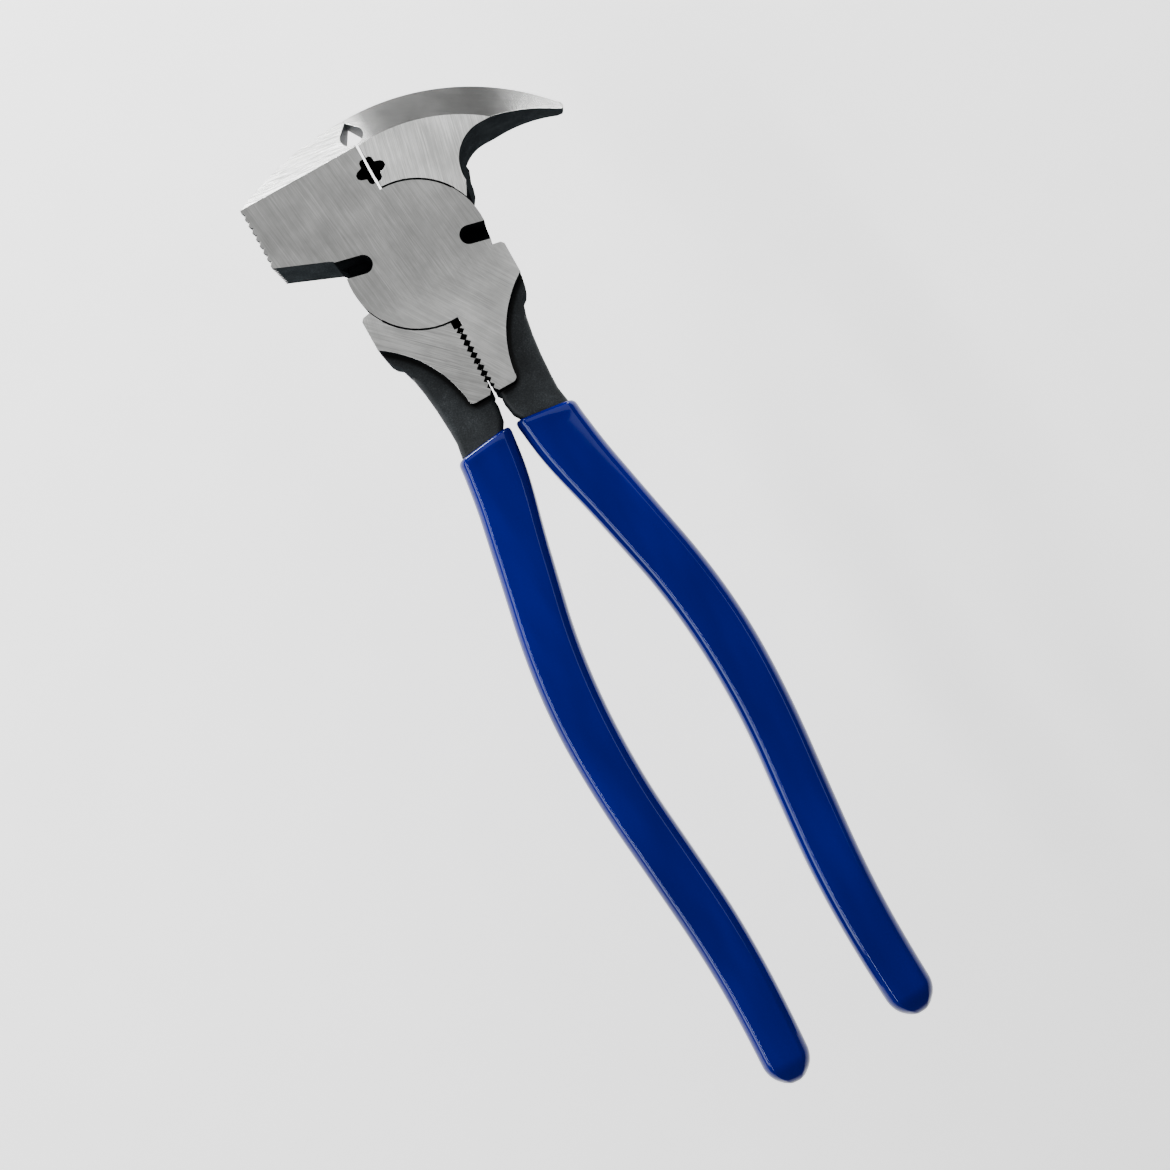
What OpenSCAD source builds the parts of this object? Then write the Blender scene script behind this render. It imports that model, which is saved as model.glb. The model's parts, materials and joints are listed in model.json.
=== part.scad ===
// Fencing pliers: two lap-jointed forgings on one flush rivet, with dipped grips.
// Origin on the rivet axis at the back face. +Z is out of the front face,
// +Y is up to the top of the head, +X is the side of the staple claw.

/* [Head] */
// thickness of the head, front face to back face
head_t = 19; // [18:0.5:20]
// radius of the round lap discs that turn on each other
joint_r = 18.3; // [18:0.1:18.5]
// radial gap between a disc and the pocket it turns in
pocket_gap = 0.25; // [0.2:0.05:0.4]
// height of the top of the head above the rivet axis
head_top = 39.7; // [39:0.1:40.5]
// radius of the top edge over the hammer jaw
hammer_top_r = 61.5; // [60:0.5:63]
// radius of the top edge over the claw
claw_top_r = 66.5; // [66:0.5:68]
// distance from the rivet axis to the hammer face
hammer_x = 32.7; // [32:0.1:34]
// height at which the long top bevels leave the faces
bevel_y = 30.3; // [29.5:0.1:31]
// how far a top bevel runs back for each unit it drops
bevel_run = 1.33; // [1.25:0.01:1.5]

/* [Cutting and gripping shapes] */
// half width of the wire slot between the upper jaws
slot_half = 0.33; // [0.25:0.01:0.45]
// radius of the round part of the tear-drop wire hole
drop_r = 3; // [2.5:0.05:3.1]
// width of the wire cutter notches in the sides of the discs
notch_w = 4.7; // [4:0.1:5]
// angle between each wire cutter notch and the cross axis of the head
notch_angle = 13.4; // [12:0.1:15]
// pitch of the teeth in the lower jaws
tooth_pitch = 1.7; // [1.65:0.01:1.72]
// depth of the teeth in the lower jaws
tooth_depth = 0.88; // [0.5:0.02:0.9]
// pitch of the grooves across the hammer face
face_pitch = 1.85; // [1.8:0.05:2]
// depth of the grooves across the hammer face
face_groove = 0.72; // [0.3:0.02:0.76]

// thickness left between the star recesses of the two faces
star_web = 2; // [1:0.5:4]

/* [Rivet] */
// radius of the rivet shank
rivet_r = 5; // [4:0.1:5.5]
// radius of the rivet at its two flush ends
rivet_end_r = 7; // [6.6:0.1:8]
// depth of the flare at each end of the rivet
rivet_flare = 2.2; // [1.8:0.1:3]
// running clearance round the rivet in the half that turns
running_gap = 0.05; // [0.03:0.01:0.1]

/* [Handles] */
// thickness of the handle tangs
tang_t = 10; // [9:0.5:10.5]
// wall of the dipped grips
grip_wall = 1.5; // [1.2:0.1:1.8]
// radius of the long edges of the grips
grip_corner = 4; // [3.2:0.2:4.4]
// length of the grips along the handle
grip_len = 177.5; // [172:0.5:182]

/* [Hidden] */
$fn = 72;
mid_z = head_t / 2;
lap_gap = 0.05;
grip_start = [9.1, -47.9];
// heading of the handle away from straight down, against distance along it
headings = [[0, 4.6], [20, 11.8], [44, 12.2], [80, 0.3], [104, -5.5],
            [125, -5], [155, 1.3], [185, 5.2]];
// width of the tang against the same distance
tang_widths = [[0, 12], [8, 11.6], [20, 11.6], [45, 11.2], [70, 11.2], [95, 10.5],
               [130, 10.5], [155, 9.8], [185, 9.2]];
tang_end = grip_len - 8;
steel = [0.62, 0.63, 0.64];
vinyl = [0.02, 0.09, 0.5];

function arc(centre, r, from, to, steps) =
    [for (i = [0:steps]) let (a = from + (to - from) * i / steps)
        centre + r * [cos(a), sin(a)]];

// a closed solid through a row of rings with equal numbers of points
module skin(rings) {
    n = len(rings[0]);
    last = len(rings) - 1;
    polyhedron(points = [for (r = rings) each r], faces = concat(
        [[for (j = [0:n - 1]) j]],
        [for (i = [0:last - 1], j = [0:n - 1])
            [i * n + j, (i + 1) * n + j, (i + 1) * n + (j + 1) % n, i * n + (j + 1) % n]],
        [[for (j = [n - 1:-1:0]) last * n + j]]));
}

// ---------- head outlines ----------
module hammer_jaw_2d() {
    centre = [0, head_top - hammer_top_r];
    turn = asin(hammer_x / hammer_top_r);
    polygon(concat(
        arc(centre, hammer_top_r, 90.05, 90 + turn, 24),
        [[-hammer_x, 14.1], [-19, 8.5], [-17.4, 6.5], [-14, 1], [-0.05, 1]]));
}

module claw_jaw_2d() {
    centre = [0, head_top - claw_top_r];
    polygon(concat(
        [[0.05, 1], [14, 1], [17.4, 6.5], [18.7, 9]],
        arc([28.8, 11], 9.6, 186, 90, 16),
        arc([30, -17.4], 38, 87, 62, 10),
        arc([48.5, 17], 1.4, -60, 40, 6),
        arc(centre, claw_top_r, 43, 89.95, 26)));
}

module lower_jaw_2d() {
    difference() {
        polygon(concat(
            [[1, -4], [1, -20.4], [0.03, -20.6], [0.03, -33], [0.3, -37.6],
             [1.2, -38.7]],
            arc([5.2, -37.2], 1.5, -90, 0, 5),
            arc([35.7, -40.6], 29.3, 173, 123, 16),
            [[19.9, -16], [19.9, -8], [19.2, -7.2], [17, -6.8], [10, -4]]));
        for (i = [0:9])
            translate([0.03, -21.45 - i * tooth_pitch])
                polygon([[-1, tooth_pitch / 2 + 0.6], [-0.01, tooth_pitch / 2],
                    [tooth_depth, 0], [-0.01, -tooth_pitch / 2],
                    [-1, -tooth_pitch / 2 - 0.6]]);
    }
}

// the claw's neck spreads towards the back face
module neck() {
    front = [[14, 7], [17.4, 6.5], [18.7, 9], [19.1, 11], [19.3, 13.5],
        [20.5, 16.3], [20, 19], [15, 19]];
    back = [[14, 7], [18.7, 7.6], [20.3, 9.9], [20.9, 12], [21.1, 13.6],
        [22.3, 16.7], [20, 19], [15, 19]];
    skin([[for (p = back) [p[0], p[1], 0]], [for (p = front) [p[0], p[1], head_t]]]);
}

module root_2d() {
    polygon([[13.5, -14], [19.9, -12.5], [19.9, -16.3], [19.4, -18.9],
        [18.6, -20.2], [17.2, -21.3], [16.2, -24.5], [12, -30], [7, -30],
        [8, -21]]);
}

module star_2d() {
    quarter = [[1.15, 3.2], [1.65, 2.7], [1.75, 1.5], [3.2, 1], [3.75, 0.45]];
    n = len(quarter) - 1;
    polygon(concat(
        [for (i = [0:n]) quarter[i]],
        [for (i = [n:-1:0]) [quarter[i][0], -quarter[i][1]]],
        [for (i = [0:n]) [-quarter[i][0], -quarter[i][1]]],
        [for (i = [n:-1:0]) [-quarter[i][0], quarter[i][1]]]));
}

// ---------- cuts shared by both halves ----------
module bevel_profile() {
    polygon([[-bevel_run, head_t + 1], [10 * bevel_run, head_t - 10],
        [10 * bevel_run, head_t + 1]]);
}

module both_faces() {
    children();
    translate([0, 0, head_t]) mirror([0, 0, 1]) children();
}

module straight_bevel() {
    translate([-40, bevel_y, 0]) rotate([90, 0, 90])
        linear_extrude(44) bevel_profile();
}

// the bevel over the claw, as flat facets round an arc
module round_bevel() {
    cut = [[-bevel_run, head_t + 1], [10 * bevel_run, head_t - 10],
        [10 * bevel_run, head_t + 1]];
    skin([for (a = [96:-3:18]) [for (p = cut)
        [4 + (45 + p[0]) * cos(a), bevel_y - 45 + (45 + p[0]) * sin(a), p[1]]]]);
}

module wire_shapes() {
    translate([-slot_half, 18.2, -1]) cube([2 * slot_half, 13.3, head_t + 2]);
    both_faces() translate([0, 23.4, mid_z + star_web / 2])
        linear_extrude(head_t) star_2d();
    translate([0, 33.8, -1]) cylinder(r = drop_r, h = head_t + 2);
    translate([0, 33.8, -1]) linear_extrude(head_t + 2)
        polygon([[-drop_r * cos(30), drop_r * sin(30)], [0, -0.3],
            [drop_r * cos(30), drop_r * sin(30)], [0, 1.6 * drop_r]]);
}

// the two halves' notches lean opposite ways and meet at twice that angle
module notches(z, lean) {
    rotate([0, 0, lean * notch_angle]) for (s = [-1, 1]) translate([0, 1.17, z]) {
        translate([s * 13.4, 0, 0]) cylinder(r = notch_w / 2, h = 11);
        translate([s * 18 - 4.6, -notch_w / 2, 0]) cube([9.2, notch_w, 11]);
    }
}

module rivet_shape(gap) {
    rotate_extrude() polygon([[0, 0], [rivet_end_r + gap, 0],
        [rivet_r + gap, rivet_flare], [rivet_r + gap, head_t - rivet_flare],
        [rivet_end_r + gap, head_t], [0, head_t]]);
}

// ---------- handles ----------
function corner_ring(w, h, r) =
    [for (c = [[1, -1, 270], [1, 1, 0], [-1, 1, 90], [-1, -1, 180]], a = [0:22.5:90])
        [c[0] * (w / 2 - r) + r * cos(c[2] + a), c[1] * (h / 2 - r) + r * sin(c[2] + a)]];
function ring(p, tilt, w, t, r) =
    [for (q = corner_ring(w, t, r))
        [p[0] + q[0] * cos(tilt), p[1] + q[0] * sin(tilt), mid_z + q[1]]];
function heading(s) = lookup(s, headings);
path = [for (i = 0, p = grip_start; i <= 186;
    p = p + [sin(heading(i + 0.5)), -cos(heading(i + 0.5))], i = i + 1) p];
function along(s) = let (i = floor(s)) path[i] + (path[i + 1] - path[i]) * (s - i);
// the mouth of a grip leans the other way from the handle, then follows it
function lean(s) = lookup(s, [[0, -7.5], [12, heading(12)], [20, heading(20)],
    [20.1, heading(s)]]);
function tang_ring(s) = ring(along(s), lean(s), lookup(s, tang_widths), tang_t, 1.5);
function neck_ring(y, inner, outer) =
    ring([(inner + outer) / 2, y], 0, outer - inner, tang_t, 1.5);
// the grips are thicker on their inner side near the mouth
function swell(s) = lookup(s, [[0, 1], [8, 0.9], [22, 0]]);
function grip_ring(s, wall) =
    ring(along(s) - [cos(lean(s)), sin(lean(s))] * swell(s) / 2, lean(s),
        lookup(s, tang_widths) + swell(s) + 2 * wall,
        tang_t - s / 110 + 2 * wall, grip_corner);

stations = [0, 6, 12, 18, 24, 31, 38, 45, 52, 58, 64, 70, 76, 82, 88, 94, 100,
    107, 114, 122, 130, 137, 144, 151, 158];

function tang_rings() = concat([for (s = stations) tang_ring(s)], [tang_ring(tang_end)]);

module tang() {
    skin(concat(
        [neck_ring(-20.5, 1.2, 17.6), neck_ring(-25, 1.2, 16.2),
         neck_ring(-30, 1.2, 15.3), neck_ring(-35, 1.2, 14.75),
         neck_ring(-41, 0.8, 14.4), neck_ring(-44.5, 1.4, 14.35)],
        tang_rings()));
}

module grip() {
    inner = tang_rings();
    n = len(inner);
    tip = 8;
    skin(concat(
        [for (i = [n - 1:-1:0]) inner[i]],
        [grip_ring(0.01, 0.9), grip_ring(0.5, grip_wall)],
        [for (i = [1:len(stations) - 1]) grip_ring(stations[i], grip_wall)],
        [grip_ring(tang_end - 3, grip_wall)],
        [for (a = [10:16:90]) let (s = grip_len - tip + tip * sin(a), f = cos(a),
                w = lookup(s, tang_widths) + 2 * grip_wall,
                t = tang_t - s / 110 + 2 * grip_wall)
            ring(along(s), lean(s), w * (0.04 + 0.96 * f), t * (0.3 + 0.7 * f),
                min(grip_corner, 0.49 * w * (0.04 + 0.96 * f)))]));
}

// ---------- forged halves ----------
module half_head(pocket_z, notch_z, notch_lean, gap) {
    difference() {
        children();
        translate([0, 0, pocket_z])
            cylinder(r = joint_r + pocket_gap, h = mid_z + lap_gap + 5, $fn = 144);
        wire_shapes();
        notches(notch_z, notch_lean);
        rivet_shape(gap);
    }
}

module hammer_half() color(steel) {
    difference() {
        half_head(-5, mid_z, -1, 0) linear_extrude(head_t) {
            hammer_jaw_2d();
            circle(joint_r, $fn = 144);
            lower_jaw_2d();
        }
        both_faces() straight_bevel();
        for (i = [0:7]) translate([-hammer_x, 15.7 + i * face_pitch, -1])
            cylinder(r = face_groove, h = head_t + 2, $fn = 4);
        for (i = [0:8]) translate([-hammer_x, 13, 2.1 + i * face_pitch])
            rotate([-90, 0, 0]) cylinder(r = face_groove, h = 19, $fn = 4);
    }
    translate([0, 0, mid_z - 5.05]) linear_extrude(10.1) root_2d();
    tang();
}

module claw_half() color(steel) {
    difference() {
        half_head(mid_z - lap_gap, mid_z - 11, 1, running_gap) {
            linear_extrude(head_t) {
                claw_jaw_2d();
                circle(joint_r, $fn = 144);
                mirror([1, 0, 0]) lower_jaw_2d();
            }
            neck();
        }
        both_faces() round_bevel();
    }
    mirror([1, 0, 0]) {
        translate([0, 0, mid_z - 5.05]) linear_extrude(10.1) root_2d();
        tang();
    }
}

module pivot_rivet() color([0.7, 0.71, 0.72]) rivet_shape(0);
module right_grip() color(vinyl) grip();
module left_grip() color(vinyl) mirror([1, 0, 0]) grip();

hammer_half();
claw_half();
pivot_rivet();
right_grip();
left_grip();
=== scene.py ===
import json
import math

import bmesh
import bpy
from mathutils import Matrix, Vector

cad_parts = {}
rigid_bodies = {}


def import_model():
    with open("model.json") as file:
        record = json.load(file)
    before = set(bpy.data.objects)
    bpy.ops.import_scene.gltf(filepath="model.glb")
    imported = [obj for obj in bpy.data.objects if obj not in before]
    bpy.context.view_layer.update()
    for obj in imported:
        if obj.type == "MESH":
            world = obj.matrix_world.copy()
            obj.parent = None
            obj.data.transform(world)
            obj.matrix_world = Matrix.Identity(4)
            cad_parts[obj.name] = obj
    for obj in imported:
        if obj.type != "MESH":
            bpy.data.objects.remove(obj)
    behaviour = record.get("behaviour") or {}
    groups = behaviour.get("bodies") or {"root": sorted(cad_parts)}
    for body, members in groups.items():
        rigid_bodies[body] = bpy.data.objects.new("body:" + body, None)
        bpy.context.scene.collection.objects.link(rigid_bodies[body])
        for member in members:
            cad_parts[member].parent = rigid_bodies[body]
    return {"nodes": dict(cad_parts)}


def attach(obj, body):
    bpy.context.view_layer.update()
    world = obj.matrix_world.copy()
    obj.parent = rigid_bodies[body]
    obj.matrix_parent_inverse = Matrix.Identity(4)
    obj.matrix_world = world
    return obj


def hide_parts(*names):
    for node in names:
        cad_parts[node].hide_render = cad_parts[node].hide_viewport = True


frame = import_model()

MM = 0.001
HEAD_T = 19.0  # head thickness, mm
MID_Z = HEAD_T / 2

for o in list(bpy.data.objects):
    if o.name in ("Cube", "Light", "Camera"):
        bpy.data.objects.remove(o)
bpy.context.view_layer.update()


# ---------------------------------------------------------------- node helpers
class Nodes:
    """One material and its shader nodes. Places are object coordinates, m."""

    def __init__(self, name):
        self.mat = bpy.data.materials.new(name)
        self.mat.use_nodes = True
        self.tree = self.mat.node_tree
        self.bsdf = self.tree.nodes["Principled BSDF"]
        self.place = self.add("ShaderNodeTexCoord").outputs["Object"]

    def add(self, kind, **values):
        """A new node, with its properties or unlinked inputs set by name."""
        node = self.tree.nodes.new(kind)
        for key, value in values.items():
            if hasattr(node, key):
                setattr(node, key, value)
            else:
                node.inputs[key.replace("_", " ")].default_value = value
        return node

    def link(self, a, b):
        self.tree.links.new(a, b)

    def math(self, op, a, b):
        """The result of a maths node on two numbers or outputs."""
        node = self.add("ShaderNodeMath", operation=op)
        for i, v in enumerate((a, b)):
            if isinstance(v, (int, float)):
                node.inputs[i].default_value = v
            else:
                self.link(v, node.inputs[i])
        return node.outputs[0]

    def mapping(self, scale, rot_z=0.0, place=None):
        node = self.add("ShaderNodeMapping")
        node.inputs["Rotation"].default_value = (0, 0, rot_z)
        node.inputs["Scale"].default_value = scale
        self.link(place or self.place, node.inputs["Vector"])
        return node.outputs[0]

    def turned(self, angle, scale):
        """Object coordinates turned about z by angle, then scaled."""
        first = self.mapping((1, 1, 1), angle)
        return self.mapping(scale, 0.0, first)

    def noise(self, vector, scale, detail=3.0, rough=0.55):
        node = self.add("ShaderNodeTexNoise")
        node.inputs["Scale"].default_value = scale
        node.inputs["Detail"].default_value = detail
        node.inputs["Roughness"].default_value = rough
        self.link(vector, node.inputs["Vector"])
        return node.outputs[0]

    def times(self, colour, factor):
        """Two colours, or a colour and a number, multiplied."""
        node = self.add("ShaderNodeVectorMath", operation="MULTIPLY")
        self.link(colour, node.inputs[0])
        self.link(factor, node.inputs[1])
        return node.outputs[0]

    def ramp(self, fac, stops):
        """A colour from a value, by stops of (position, (r, g, b))."""
        node = self.add("ShaderNodeValToRGB")
        while len(node.color_ramp.elements) < len(stops):
            node.color_ramp.elements.new(0.5)
        for e, (p, c) in zip(node.color_ramp.elements, stops):
            e.position = p
            e.color = (*c, 1)
        self.link(fac, node.inputs[0])
        return node.outputs[0]

    def span(self, value, low, high, out_low=0.0, out_high=1.0):
        """low to high mapped to out_low to out_high, held at both ends."""
        node = self.add("ShaderNodeMapRange")
        for i, v in enumerate((low, high, out_low, out_high)):
            node.inputs[i + 1].default_value = v
        self.link(value, node.inputs[0])
        return node.outputs[0]

    def bump(self, height, strength, distance):
        node = self.add("ShaderNodeBump")
        node.inputs["Strength"].default_value = strength
        node.inputs["Distance"].default_value = distance
        self.link(height, node.inputs["Height"])
        self.link(node.outputs[0], self.bsdf.inputs["Normal"])

    def set(self, **values):
        """Constants on the shader's own sockets."""
        for key, value in values.items():
            self.bsdf.inputs[key.replace("_", " ")].default_value = value


def ground_steel(name, angle, tone=1.0, streak=1.0, rough=0.34, lower=None,
                 along_x=None):
    """Belt-ground steel, its streaks at an angle from +Y in radians. tone is a
    factor on the colour, and it carries some of how brightly the surface is
    lit, not only what it is made of. lower is the angle and tone of the jaws
    below the joint, and along_x gives stops of (mm from the joint line, factor
    on the tone)."""
    n = Nodes(name)
    parts = n.add("ShaderNodeSeparateXYZ")
    n.link(n.place, parts.inputs[0])
    down = n.span(parts.outputs[1], -3 * MM, -15 * MM)

    def streaks(turn):
        fine = n.noise(n.turned(turn, (9000, 170, 1500)), 1.0, 2.0)
        wide = n.noise(n.turned(turn, (2600, 55, 300)), 1.0, 3.0, 0.65)
        deep_one = n.noise(n.turned(turn + 0.12, (6000, 40, 900)), 1.0, 1.0)
        return (n.math("ADD", n.math("MULTIPLY", fine, 0.5),
                       n.math("MULTIPLY", wide, 0.5)),
                n.span(deep_one, 0.66, 0.74))

    mix, scratch = streaks(angle)
    if lower:
        keep = n.math("SUBTRACT", 1.0, down)
        mix_2, scratch_2 = streaks(lower[0])
        mix = n.math("ADD", n.math("MULTIPLY", mix, keep),
                     n.math("MULTIPLY", mix_2, down))
        scratch = n.math("ADD", n.math("MULTIPLY", scratch, keep),
                         n.math("MULTIPLY", scratch_2, down))
    cloud = n.noise(n.mapping((90, 90, 90)), 1.0, 4.0, 0.6)
    shade = n.math("ADD", n.math("MULTIPLY", mix, streak),
                   n.math("MULTIPLY", cloud, 0.55))
    shade = n.math("ADD", shade, n.math("MULTIPLY", scratch, 0.16 * streak))
    dark, mid, light = 0.29, 0.40, 0.56
    middle = 0.5 * streak + 0.275
    colour = n.ramp(n.span(shade, middle - 0.17, middle + 0.17), [
        (0.0, (dark, dark * 1.005, dark * 0.985)),
        (0.5, (mid, mid * 1.005, mid * 0.985)),
        (1.0, (light, light, light * 0.985))])
    if along_x:
        reach = along_x[-1][0]
        factor = n.ramp(n.math("DIVIDE", parts.outputs[0], reach * MM), [
            (x / reach, (tone * f,) * 3) for x, f in along_x])
    else:
        low = lower[1] if lower else tone
        factor = n.ramp(down, [(0.0, (tone,) * 3), (1.0, (low,) * 3)])
    n.link(n.times(colour, factor), n.bsdf.inputs["Base Color"])
    depth = min(1.0, streak)  # weak streaks are shallow ones too
    n.link(n.span(mix, 0.3, 0.7, rough - 0.06 * depth, rough + 0.08 * depth),
           n.bsdf.inputs["Roughness"])
    n.bump(n.math("ADD", mix, n.math("MULTIPLY", scratch, -0.3)),
           0.3 * depth, 0.00004)
    n.set(Metallic=1.0)
    return n.mat


def black_forging(name, level, specular=0.16, painted_shade_reach=0.0):
    """Dark, slightly grainy forged skin. level is a factor on its colour.
    Given a reach, shade is painted in: it is almost black within about that
    distance, in metres, of the foot of a wall."""
    n = Nodes(name)
    grain = n.noise(n.mapping((1, 1, 1)), 3400, 3.0, 0.7)
    patch = n.noise(n.mapping((1, 1, 1)), 210, 3.0)
    both = n.math("ADD", n.math("MULTIPLY", grain, 0.7),
                  n.math("MULTIPLY", patch, 0.3))
    colour = n.ramp(n.span(both, 0.32, 0.68), [
        (0.0, (0.006 * level, 0.007 * level, 0.008 * level)),
        (0.6, (0.016 * level, 0.019 * level, 0.021 * level)),
        (1.0, (0.038 * level, 0.043 * level, 0.047 * level))])
    # painted shade: the colour goes almost black near the foot of a wall
    if painted_shade_reach:
        corner = n.add("ShaderNodeAmbientOcclusion", samples=16, only_local=True,
                       Distance=2.5 * painted_shade_reach)
        colour = n.times(
            colour, n.span(corner.outputs["AO"], 0.72, 0.84, 0.06, 1.0))
    n.link(colour, n.bsdf.inputs["Base Color"])
    n.link(n.span(both, 0.3, 0.7, 0.45, 0.65), n.bsdf.inputs["Roughness"])
    n.bump(both, 0.6, 0.0001)
    n.set(Specular_IOR_Level=specular)
    return n.mat


def dipped_vinyl(name):
    """Glossy blue vinyl, its colour and gloss a little uneven."""
    n = Nodes(name)
    flow = n.noise(n.mapping((1, 0.25, 1)), 90, 2.0)
    gloss = n.noise(n.mapping((1, 1, 1)), 260, 2.0)
    colour = n.ramp(n.span(flow, 0.3, 0.7), [
        (0.0, (0.0, 0.0, 0.090)), (0.5, (0.0, 0.0001, 0.108)),
        (1.0, (0.0, 0.0004, 0.130))])
    n.link(colour, n.bsdf.inputs["Base Color"])
    n.link(n.span(gloss, 0.3, 0.7, 0.06, 0.09), n.bsdf.inputs["Roughness"])
    n.bump(flow, 0.03, 0.0002)
    n.set(Specular_IOR_Level=0.36, Specular_Tint=(0.62, 0.76, 1.0, 1.0))
    return n.mat


# One steel for both halves: the hammer face's tone 0.63 is painted shade and the
# claw face's 1.25 painted light, and the lower jaws' tones, 0.92 and 0.84, are
# painted light and painted shade as well.
steel_hammer = ground_steel(
    "ground_hammer_face", math.radians(-7), tone=0.63, streak=0.8,
    lower=(math.radians(-32), 0.92))
steel_claw = ground_steel(
    "ground_claw_face", math.radians(13), tone=1.25, streak=1.2,
    lower=(math.radians(-46), 0.84))
steel_bevel = ground_steel(
    "ground_bevel", math.radians(-80), tone=1.25, streak=1.1, rough=0.26)
# painted reflection: a fixed dark band along the claw, in place of the dark room
# that this bevel would reflect, lighter near the joint and towards the tip as
# painted highlights
claw_bevel = ground_steel(
    "ground_claw_bevel", math.radians(-60), streak=0.3, rough=0.24, along_x=[
        (0, 1.1), (2.5, 0.85), (5, 0.38), (9, 0.29), (22, 0.37), (31, 0.27),
        (36, 0.28), (39.5, 0.56), (45, 0.70)])
# painted shade at the foot of the jaws' steps on the tangs
black = black_forging("black_forging", level=1.15, painted_shade_reach=0.9 * MM)
dark_cut = black_forging("dark_cut_walls", level=1.1, specular=0.0)
# painted shade: near-black and without reflection, for the notches, the star
# recess and the gaps round the disc and the teeth, where shade falls
recess_shade = black_forging("recess_painted_shade", level=0.25, specular=0.0)
drop_wall = black_forging("tear_drop_walls", level=3.5, specular=0.25)
vinyl = dipped_vinyl("blue_dipped_vinyl")


def add_piece(name, mesh, body, node):
    """A visible piece that rides on a body and stands for a CAD node."""
    ob = bpy.data.objects.new(name, mesh)
    bpy.context.scene.collection.objects.link(ob)
    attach(ob, body)
    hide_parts(node)


# ---------------------------------------------------------------- forgings
# Places are in mm: x from the joint line, y from the pivot, z from the back.
TOP_ARCS = {"hammer_half": (-21.8, 61.5), "claw_half": (-26.8, 66.5)}
HAMMER_FACE_X = -31.9  # the hammer's striking face starts to its left
DROP_Y = 34.5  # centre of the tear-drop hole
STAR_Y = 23.4  # centre of the star recess
DISC_R = 18.43  # edge of the lap discs
NOTCH_Y, NOTCH_REACH = 9, 21  # the wire cutter notches lie within these
WEB_HALF = 5.2  # half the tangs' thickness, and a little
GAP_X = 0.005  # half the gap that the visual model leaves between the halves

# the order of a forging's materials
GROUND, BEVEL, BLACK, CUT_WALL, RECESS_SHADE, DROP_WALL = range(6)


def surface_slot(f, node):
    """Which of a forging's materials a face of it has."""
    c = f.calc_center_median() / MM
    tilt = abs(f.normal.z)
    arc_y, arc_r = TOP_ARCS[node]
    off_arc = abs(math.hypot(c.x, c.y - arc_y) - arc_r)
    in_notch = abs(c.y) < NOTCH_Y and math.hypot(c.x, c.y) < NOTCH_REACH
    if tilt > 0.99 and min(abs(c.z), abs(c.z - HEAD_T)) < 0.05:
        return GROUND
    if c.y > 14 and 0.7 < tilt < 0.9:
        return BEVEL
    if tilt < 0.1 and c.y > 16 and off_arc < 0.3:
        return BEVEL
    if c.x < HAMMER_FACE_X and f.normal.x < -0.3:
        return CUT_WALL if f.normal.y < -0.3 else GROUND
    if math.hypot(c.x, c.y - DROP_Y) < 5:
        return DROP_WALL
    # painted shade in the star recess and the wire cutter notches
    if math.hypot(c.x, c.y - STAR_Y) < 6 or in_notch:
        return RECESS_SHADE
    if c.y < -25 and abs(c.z - MID_Z) < WEB_HALF and abs(c.x) > 1.5:
        toward_gap = f.normal.x * (1 if c.x < 0 else -1)
        return CUT_WALL if c.y < -38 and toward_gap > 0.75 else BLACK
    if c.y < -12 and tilt > 0.9 and abs(c.z - MID_Z) > 4:
        return BLACK
    return CUT_WALL if c.y > 0 or abs(c.z - MID_Z) < WEB_HALF else RECESS_SHADE


def rounded_normals(mesh, limit_deg):
    """Flat faces keep their own normals; other corners share the normals of
    the neighbours within the limit, by area."""
    limit = math.cos(math.radians(limit_deg))
    around = [[] for _ in mesh.vertices]
    for p in mesh.polygons:
        for v in p.vertices:
            around[v].append((p.normal.copy(), p.area))
    normals = []
    for p in mesh.polygons:
        own = p.normal.copy()
        for v in p.vertices:
            if abs(own.z) > 0.999:
                normals.append(own)
                continue
            total = own * 1e-12
            for normal, area in around[v]:
                if normal.dot(own) > limit:
                    total = total + normal * area
            normals.append(total.normalized())
    mesh.normals_split_custom_set(normals)


def is_broken_edge(e):
    """True if an edge of a forging gets a small bevel."""
    m = (e.verts[0].co + e.verts[1].co) / 2 / MM
    radius = math.hypot(m.x, m.y)
    along_z = abs(e.verts[0].co.z - e.verts[1].co.z) > 0.9 * e.calc_length()
    small = m.x < -32 or (abs(m.x) < 1.3 and m.y < -19) \
        or math.hypot(m.x, m.y - STAR_Y) < 4.5
    if abs(m.y) < 9.5 and radius < NOTCH_REACH:
        return False
    if m.y < -12 and 4.9 < abs(m.z - MID_Z) < WEB_HALF:  # webs' low outlines
        return False
    return len(e.link_faces) == 2 and radius > 8 \
        and not (along_z and small) and not m.x < -32.6 \
        and e.calc_face_angle(0) > math.radians(50)


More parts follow.
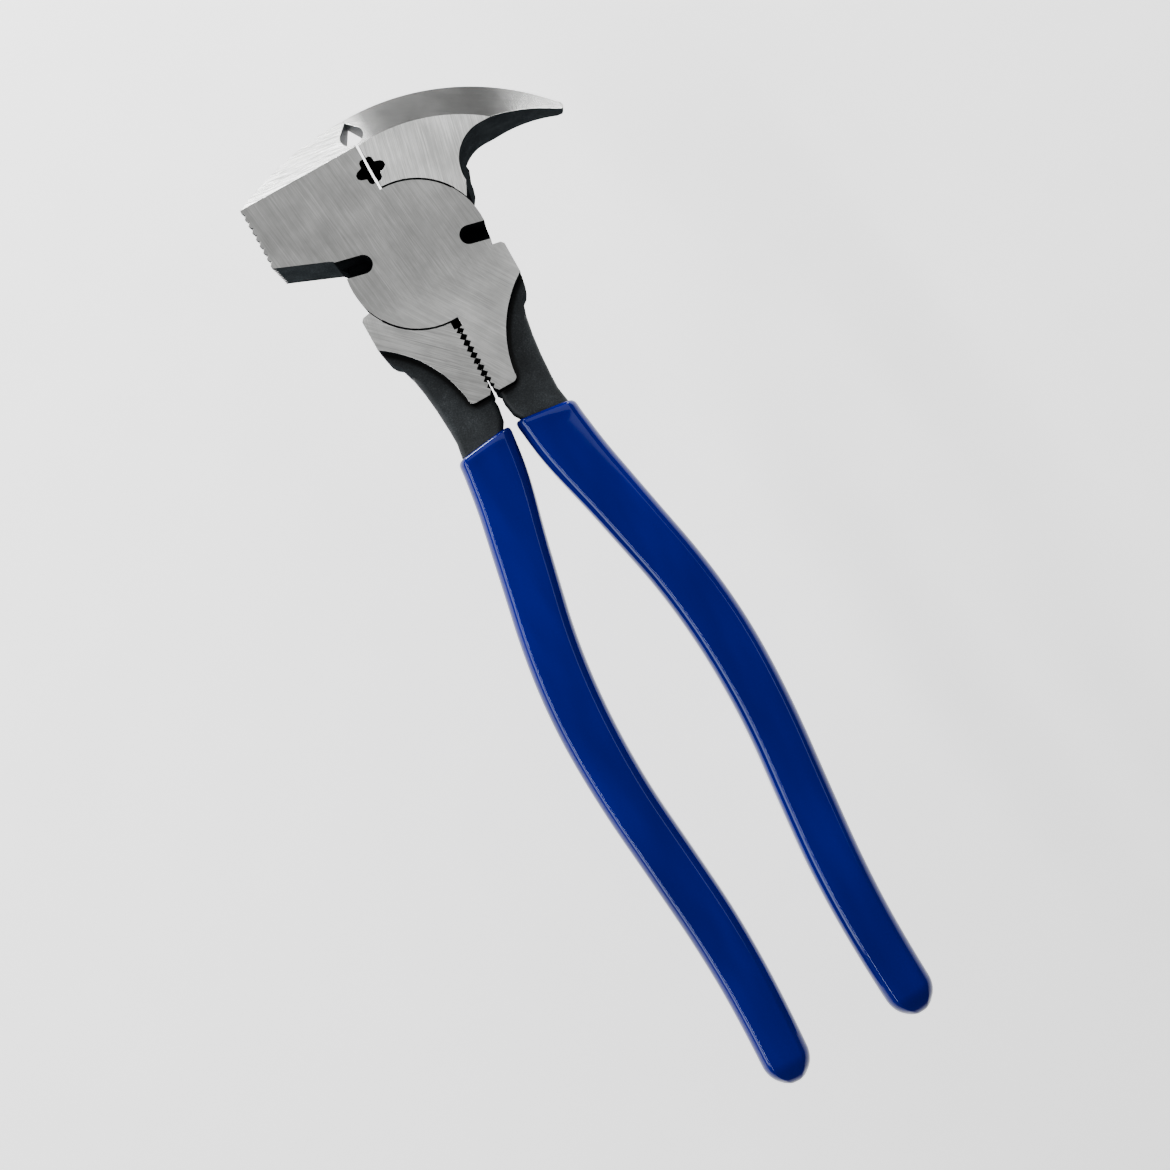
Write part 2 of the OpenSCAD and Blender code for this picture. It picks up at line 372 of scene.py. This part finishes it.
def finished_forging(node, piece_name, body, face_steel, bevel_steel):
    """The CAD forging with its edges broken, each surface's own finish, and
    painted shade in its recesses and gaps.
    """
    bm = bmesh.new()
    bm.from_mesh(frame["nodes"][node].data)
    for v in bm.verts:  # light doesn't pass where the two halves meet
        if abs(v.co.x) < 0.06 * MM and (v.co.y > 31 * MM
                                        or -33.5 * MM < v.co.y < -20 * MM):
            v.co.x = math.copysign(GAP_X * MM, v.co.x)
    bmesh.ops.remove_doubles(bm, verts=bm.verts, dist=0.03 * MM)
    bmesh.ops.dissolve_degenerate(bm, dist=1e-6, edges=bm.edges)
    bmesh.ops.dissolve_limit(bm, angle_limit=math.radians(0.05),
                             verts=bm.verts, edges=bm.edges)
    bmesh.ops.triangulate(bm, faces=[f for f in bm.faces if len(f.verts) > 4])
    bm.normal_update()
    for f in bm.faces:
        f.smooth = abs(f.normal.z) < 0.999
        f.material_index = surface_slot(f, node)
    bmesh.ops.bevel(bm, geom=[e for e in bm.edges if is_broken_edge(e)],
                    offset=0.13 * MM, offset_type="OFFSET", segments=3,
                    profile=0.5, affect="EDGES", clamp_overlap=False,
                    material=-1)
    bmesh.ops.triangulate(bm, faces=[f for f in bm.faces if len(f.verts) > 4])
    bm.normal_update()
    # painted shade: the broken edges round the disc and the teeth get the
    # near-black recess material, for the shade in the gaps between the halves
    for f in bm.faces:  # the broken edges round the disc and the teeth are dark
        c = f.calc_center_median() / MM
        by_disc = abs(math.hypot(c.x, c.y) - DISC_R) < 0.3
        by_teeth = abs(c.x) < 1.2 and -38.6 < c.y < -19.5
        if 0.02 < abs(f.normal.z) < 0.99 and (by_disc or by_teeth):
            f.material_index = RECESS_SHADE
    mesh = bpy.data.meshes.new(piece_name)
    bm.to_mesh(mesh)
    bm.free()
    for m in (face_steel, bevel_steel, black, dark_cut, recess_shade, drop_wall):
        mesh.materials.append(m)
    rounded_normals(mesh, 31)
    add_piece(piece_name, mesh, body, node)


finished_forging("hammer_half", "hammer_forging", "hammer_body",
                 steel_hammer, steel_bevel)
finished_forging("claw_half", "claw_forging", "claw_body",
                 steel_claw, claw_bevel)


RIVET_STEPS = 96
RIVET_RINGS = ((7, 0), (5, 2.2), (5, HEAD_T - 2.2), (7, HEAD_T))  # radius, z


def ground_rivet():
    """The hidden rivet, its ends ground flush with the faces."""
    bm = bmesh.new()
    rings = []
    for radius, z in RIVET_RINGS:
        ring = []
        for i in range(RIVET_STEPS):
            a = i * math.tau / RIVET_STEPS
            ring.append(bm.verts.new((radius * MM * math.cos(a),
                                      radius * MM * math.sin(a), z * MM)))
        rings.append(ring)
    for low, high in zip(rings, rings[1:]):
        for i in range(RIVET_STEPS):
            j = (i + 1) % RIVET_STEPS
            bm.faces.new((low[i], low[j], high[j], high[i])).smooth = True
    bm.faces.new(rings[0][::-1])
    bm.faces.new(rings[-1])
    mesh = bpy.data.meshes.new("ground_rivet")
    bm.to_mesh(mesh)
    bm.free()
    mesh.materials.append(steel_hammer)
    mesh.set_sharp_from_angle(angle=math.radians(30))
    add_piece("ground_rivet", mesh, "hammer_body", "pivot_rivet")


ground_rivet()

# ---------------------------------------------------------------- grips
# Tables of (mm along the handle from the mouth, value). Headings are degrees
# outwards from -Y, and the others are mm.
HEADINGS = [(0, 4.6), (20, 11.8), (44, 12.2), (80, 0.3), (104, -5.5),
            (125, -5), (155, 1.3), (185, 5.2)]
SWELL = [(0, 1), (8, 0.9), (22, 0)]  # thicker inner side near the mouth
TANG_WIDTHS = [(0, 12), (8, 11.6), (20, 11.6), (45, 11.2), (70, 11.2), (95, 10.5),
               (130, 10.5), (155, 9.8), (185, 9.2)]
GRIP_LEN = 177.48
WALL = 1.5
MOUTH = Vector((9.1, -47.9))  # centre of the right grip's mouth
STEP = 0.25  # spacing of the path's points
PATH_LEN = 187
# The rolled mouth: out from the tang, over a soft lip, then the wall, as
# (mm along the handle, mm out from the tang).
LIP = ((0.55, -0.25), (0.18, 0.15), (0.02, 0.55), (0.05, 0.95),
       (0.30, 1.30), (0.75, 1.50), (1.5, 1.56), (2.6, 1.53))
RING_GAP = 0.9
TIP_LEN = 7.6
TIP_RINGS = 29
CORNER_R = 4.0
CORNER_POINTS = 21
SHOULDER_STEPS = 11  # the rest of a corner's points turn the crease
FLAT_POINTS = 9  # between two corners
CROWN = 0.16  # how far the flats stand up in their middle
CROWN_SLOPE = 0.065  # how the flats start to rise from the crease, radians


def lookup(s, table):
    """A table's value at s, held at both ends."""
    if s <= table[0][0]:
        return table[0][1]
    for (a, p), (b, q) in zip(table, table[1:]):
        if s <= b:
            return p + (q - p) * (s - a) / (b - a)
    return table[-1][1]


def smooth_lookup(s, table, spread=7.0):
    """The table's value averaged over a few millimetres along the handle."""
    steps = [-1, -0.5, 0, 0.5, 1]
    return sum(lookup(s + k * spread, table) for k in steps) / len(steps)


path = [MOUTH]
for i in range(int(PATH_LEN / STEP)):
    a = math.radians(lookup((i + 0.5) * STEP, HEADINGS))
    path.append(path[-1] + Vector((math.sin(a), -math.cos(a))) * STEP)


def along(s):
    """The point s along the handle's centre line."""
    i = max(0, min(int(s / STEP), len(path) - 2))
    return path[i] + (path[i + 1] - path[i]) * (s / STEP - i)


def lean(s):
    """The heading of the section at s, in degrees. The mouth is cut aslant."""
    if s >= 20:
        return smooth_lookup(s, HEADINGS, 4.0)
    k = max(0.0, min(s / 13.0, 1.0))
    k = k * k * (3 - 2 * k)
    return -7.5 * (1 - k) + smooth_lookup(s, HEADINGS, 4.0) * k


def corner_curve(r):
    """Quarter corner as offsets in from the box corner, from the side up to
    the flat: a wide shoulder and then a tighter crease along the flat."""
    shoulder, crease, turn = 1.125 * r, 0.3 * r, math.radians(55)
    drop = shoulder * math.sin(turn) + crease * (1 - math.sin(turn))
    out = []
    crease_steps = CORNER_POINTS - 1 - SHOULDER_STEPS
    for k in range(CORNER_POINTS):
        if k <= SHOULDER_STEPS:
            a = turn * k / SHOULDER_STEPS
            out.append((-shoulder * (1 - math.cos(a)),
                        shoulder * math.sin(a) - drop))
        else:
            a = turn + (math.pi / 2 - CROWN_SLOPE - turn) \
                * (k - SHOULDER_STEPS) / crease_steps
            out.append((-shoulder * (1 - math.cos(turn))
                        - crease * (math.cos(turn) - math.cos(a)),
                        shoulder * math.sin(turn)
                        + crease * (math.sin(a) - math.sin(turn)) - drop))
    return out


def grip_section(w, t, r, crown):
    """Rounded section, w by t, with slightly crowned flats, as points in
    order round it."""
    curve = corner_curve(r)
    corners = ((1, -1), (1, 1), (-1, 1), (-1, -1))
    arcs = []
    for i, (sx, sy) in enumerate(corners):
        points = [(sx * (w / 2 + x), sy * (t / 2 + y)) for x, y in curve]
        arcs.append(points if i % 2 else points[::-1])
    out = []
    for i, points in enumerate(arcs):
        out += points
        p, q = points[-1], arcs[(i + 1) % 4][0]
        for k in range(1, FLAT_POINTS + 1):
            u = k / (FLAT_POINTS + 1)
            bulge = crown * (1 - (2 * u - 1) ** 2)
            x, y = p[0] + (q[0] - p[0]) * u, p[1] + (q[1] - p[1]) * u
            if i % 2:
                y += math.copysign(bulge, y)
            out.append((x, y))
    return out


def grip_rings():
    """The right grip's rings of points, in mm, from mouth to tip."""
    # mm along, mm out from the tang, and factors on the width and thickness
    rings = [(s, wall, 1.0, 1.0) for s, wall in LIP]
    s = 4.0
    while s < GRIP_LEN - 9.0:
        rings.append((s, WALL, 1.0, 1.0))
        s += RING_GAP
    for k in range(TIP_RINGS):
        a = math.radians(min(90.0, 3.1 * k + 3))
        f = max(math.cos(a), 0.02)
        rings.append((GRIP_LEN - TIP_LEN + TIP_LEN * math.sin(a), WALL,
                      0.03 + 0.97 * f, 0.06 + 0.94 * f ** 0.9))
    out = []
    for s, wall, fw, ft in rings:
        extra = smooth_lookup(s, SWELL)
        w = (smooth_lookup(s, TANG_WIDTHS) + extra + 2 * wall) * fw
        t = (10 - s / 110 + 2 * wall) * ft
        r = min(CORNER_R, 0.48 * w, 0.48 * t)
        if wall < 1.3:  # tighter corners inside the lip
            r = max(1.2, CORNER_R - 2.6 * (1.3 - wall))
        p = along(s)
        a = math.radians(lean(s))
        ring = []
        for u, v in grip_section(w, t, r, CROWN * min(fw, ft)):
            u -= extra / 2
            ring.append(Vector((p.x + u * math.cos(a), p.y + u * math.sin(a),
                                MID_Z + v)))
        out.append(ring)
    return out


def grip(name, node, body, side):
    """One dipped grip. side is 1 for the right and -1 for the left."""
    bm = bmesh.new()
    loops = [[bm.verts.new((side * q.x * MM, q.y * MM, q.z * MM)) for q in ring]
             for ring in grip_rings()]
    n = len(loops[0])
    for one, two in zip(loops, loops[1:]):
        for j in range(n):
            k = (j + 1) % n
            bm.faces.new((one[j], two[j], two[k], one[k]))
    centre = sum((v.co for v in loops[-1]), Vector()) / n
    tip = bm.verts.new(centre)
    for j in range(n):
        bm.faces.new((loops[-1][j], tip, loops[-1][(j + 1) % n]))
    bm.faces.new(loops[0])
    bmesh.ops.recalc_face_normals(bm, faces=bm.faces)
    for f in bm.faces:
        f.smooth = True
    mesh = bpy.data.meshes.new(name)
    bm.to_mesh(mesh)
    bm.free()
    mesh.materials.append(vinyl)
    add_piece(name, mesh, body, node)


grip("right_dipped_grip", "right_grip", "hammer_body", 1)
grip("left_dipped_grip", "left_grip", "claw_body", -1)

# ---------------------------------------------------------------- stage
FLOOR_HALF = 3.0
FLOOR_Z = -0.09
SKY_STRENGTH = 0.18
TURN = math.radians(-29.2)  # of the camera about z
CENTRE = Vector((-0.0037, -0.0904, 0.0))  # where the camera and lights aim
CAMERA_HEIGHT = 0.399
LENS = 47.94

floor_mesh = bpy.data.meshes.new("floor")
floor_mesh.from_pydata(
    [(x * FLOOR_HALF, y * FLOOR_HALF, FLOOR_Z)
     for x, y in ((-1, -1), (1, -1), (1, 1), (-1, 1))], [], [(0, 1, 2, 3)])
floor = bpy.data.objects.new("floor", floor_mesh)
bpy.context.scene.collection.objects.link(floor)
paper = Nodes("pale_floor")
mottle = paper.noise(paper.mapping((1, 1, 1)), 40, 2.0)
paper.link(paper.ramp(mottle, [(0.3, (0.90,) * 3), (0.7, (0.93,) * 3)]),
           paper.bsdf.inputs["Base Color"])
paper.set(Roughness=0.9, Specular_IOR_Level=0.1, Emission_Color=(1, 1, 1, 1),
          Emission_Strength=0.8)
floor_mesh.materials.append(paper.mat)

world = bpy.data.worlds[0] if bpy.data.worlds else bpy.data.worlds.new("World")
bpy.context.scene.world = world
world.use_nodes = True
background = world.node_tree.nodes["Background"]
background.inputs["Color"].default_value = (1, 1, 1, 1)
background.inputs["Strength"].default_value = SKY_STRENGTH


def area_light(name, right, up, height, size_x, size_y, power):
    """A soft light aimed at CENTRE. It stands right and up from there as the
    camera sees it, at a height, all in metres. power is in watts."""
    data = bpy.data.lights.new(name, "AREA")
    data.shape = "RECTANGLE"
    data.size, data.size_y = size_x, size_y
    data.energy = power
    ob = bpy.data.objects.new(name, data)
    bpy.context.scene.collection.objects.link(ob)
    x_axis = Vector((math.cos(TURN), math.sin(TURN), 0))
    y_axis = Vector((-math.sin(TURN), math.cos(TURN), 0))
    ob.location = CENTRE + x_axis * right + y_axis * up + Vector((0, 0, height))
    aim = (CENTRE - ob.location).to_track_quat("-Z", "Y")
    ob.rotation_euler = aim.to_euler()


area_light("key_upper_left", -0.62, 0.66, 0.24, 0.50, 0.22, 22)
area_light("line_left", -0.50, -0.46, 0.65, 0.90, 0.04, 5)
area_light("low_left", -0.72, -0.35, 0.22, 0.90, 0.20, 3.5)
area_light("soft_right", 0.50, 0.10, 0.75, 0.30, 0.30, 0.6)
area_light("tip_upper_right", 0.25, 0.90, 0.20, 0.25, 0.15, 7)
area_light("overhead", 0.0, 0.44, 0.80, 0.9, 0.6, 2.6)

cam_data = bpy.data.cameras.new("camera")
cam_data.sensor_width = 36.0
cam_data.lens = LENS
cam_data.clip_start, cam_data.clip_end = 0.01, 20
cam = bpy.data.objects.new("camera", cam_data)
bpy.context.scene.collection.objects.link(cam)
cam.location = CENTRE + Vector((0, 0, CAMERA_HEIGHT))
cam.rotation_euler = (0, 0, TURN)
bpy.context.scene.camera = cam
